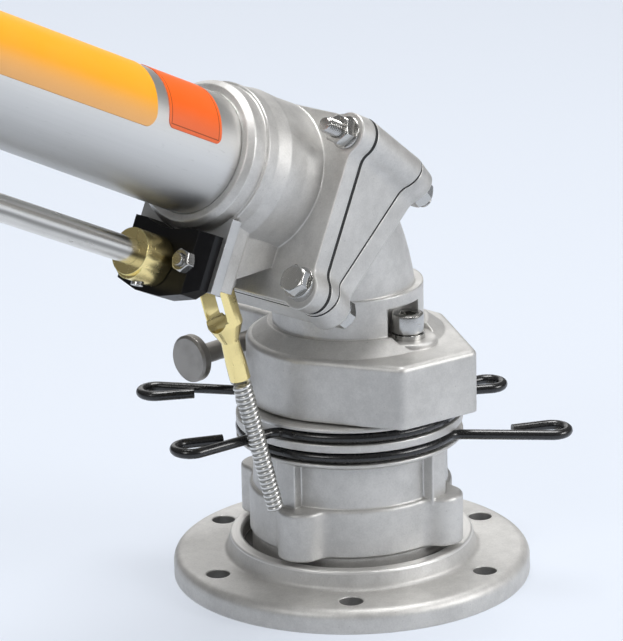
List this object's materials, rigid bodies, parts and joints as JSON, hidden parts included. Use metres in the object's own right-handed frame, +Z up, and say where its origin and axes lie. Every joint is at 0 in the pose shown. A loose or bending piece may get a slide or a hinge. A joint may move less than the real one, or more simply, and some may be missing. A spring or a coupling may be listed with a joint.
{
  "type": "part-circle rain gun sprinkler head",
  "caption": "Irrigation rain gun head: bolted swivel base, wire arc stops, elbow head with angle wedge, inclined barrel, shift rod with hanging trip, drive arm.",
  "frame": {"origin": "centre of the base flange's bottom face, on the swivel axis", "axes": "+Z up the swivel axis, +X towards the side the barrel points to, +Y to the left of the barrel seen from behind"},
  "size_m": [0.6963, 0.19, 0.4886],
  "materials": {
    "casting": "satin cast surface",
    "tube": "smooth satin",
    "plate": "milled satin",
    "black_wire": "semi-gloss black coating",
    "steel": "bright zinc",
    "knob": "bevelled",
    "brass": "turned",
    "black_plastic": "satin",
    "grey_plastic": "satin",
    "rubber": "matte",
    "orange_film": "printed film, bare",
    "yellow_film": "printed film, bare",
    "weight": "grey coating"
  },
  "bodies": {
    "base": {"base_flange": "casting", "foot_seal": "rubber", "foot_screws": "steel", "bearing_body": "casting", "brake_ring": "steel", "lower_bearing": "steel", "upper_bearing": "steel", "water_seal": "rubber", "dust_seal": "rubber"},
    "upper_stop": {"arc_stop_upper": "black_wire"},
    "lower_stop": {"arc_stop_lower": "black_wire"},
    "head": {"swivel_sleeve": "steel", "sleeve_nut": "steel", "head_seal": "rubber", "turret_head": "casting", "head_screws": "steel", "head_screw_washers": "steel", "lower_gasket": "rubber", "angle_wedge": "casting", "upper_gasket": "rubber", "flange_studs": "steel", "flange_nuts": "steel", "flange_washers": "steel", "through_bolts": "steel", "through_nuts": "steel", "through_washers": "steel", "barrel_socket": "casting", "barrel_seal": "rubber", "barrel_tube": "tube", "stream_straightener": "grey_plastic", "orange_label": "orange_film", "yellow_label": "yellow_film", "bracket_plate": "plate", "rod_bearing_block": "black_plastic", "block_bolts": "steel", "block_nuts": "steel", "front_bracket": "casting", "front_bracket_screws": "steel", "rod_bush": "brass", "nozzle_holder": "casting", "nozzle_seal": "rubber", "nozzle": "plate", "nozzle_ring": "plate"},
    "brake_slider": {"brake_plunger": "brass", "brake_pad": "rubber"},
    "brake_screw": {"thumb_screw": "knob"},
    "shift": {"shift_rod": "steel", "shift_collar": "brass", "collar_screw": "steel", "clevis_pin": "steel", "arm_yoke": "brass", "yoke_screw": "steel", "arm_pin": "steel"},
    "trip": {"clevis": "brass", "trip_spring": "steel"},
    "drive": {"drive_arm": "plate", "drive_spoon": "grey_plastic", "counterweight": "weight", "counterweight_screw": "steel"}
  },
  "joints": [
    {"name": "head_turn", "type": "hinge", "parent": "base", "child": "head", "pos_m": [0, 0, 0.1], "axis": [0, 0, 1], "continuous": true},
    {"name": "upper_stop_turn", "type": "hinge", "parent": "base", "child": "upper_stop", "pos_m": [0, 0, 0.088], "axis": [0, 0, 1], "continuous": true},
    {"name": "lower_stop_turn", "type": "hinge", "parent": "base", "child": "lower_stop", "pos_m": [0, 0, 0.0777], "axis": [0, 0, 1], "continuous": true},
    {"name": "shift_turn", "type": "hinge", "parent": "head", "child": "shift", "pos_m": [0.12403, 0, 0.18923], "axis": [0.9008, 0, 0.4343], "range_deg": [-24, 8], "deforming": ["trip_spring"]},
    {"name": "trip_swing", "type": "hinge", "parent": "shift", "child": "trip", "pos_m": [0.09161, 0, 0.17359], "axis": [-0.0604, 0.9903, 0.1254], "range_deg": [-25, 4]},
    {"name": "drive_arm_swing", "type": "hinge", "parent": "shift", "child": "drive", "pos_m": [0.48705, 0, 0.36425], "axis": [-0.0604, 0.9903, 0.1254], "range_deg": [0, 15]},
    {"name": "brake_screw_turn", "type": "hinge", "parent": "head", "child": "brake_screw", "pos_m": [0.03, -0.062, 0.1098], "axis": [1, 0, 0], "range_deg": [-30, 270]},
    {"name": "brake_press", "type": "slide", "parent": "head", "child": "brake_slider", "axis": [0, 1, 0], "range_m": [-0.00013, 0.00113]}
  ],
  "couplings": [
    {"joint": "brake_press", "follows": "brake_screw_turn", "m_per_rad": 0.00023873}
  ]
}
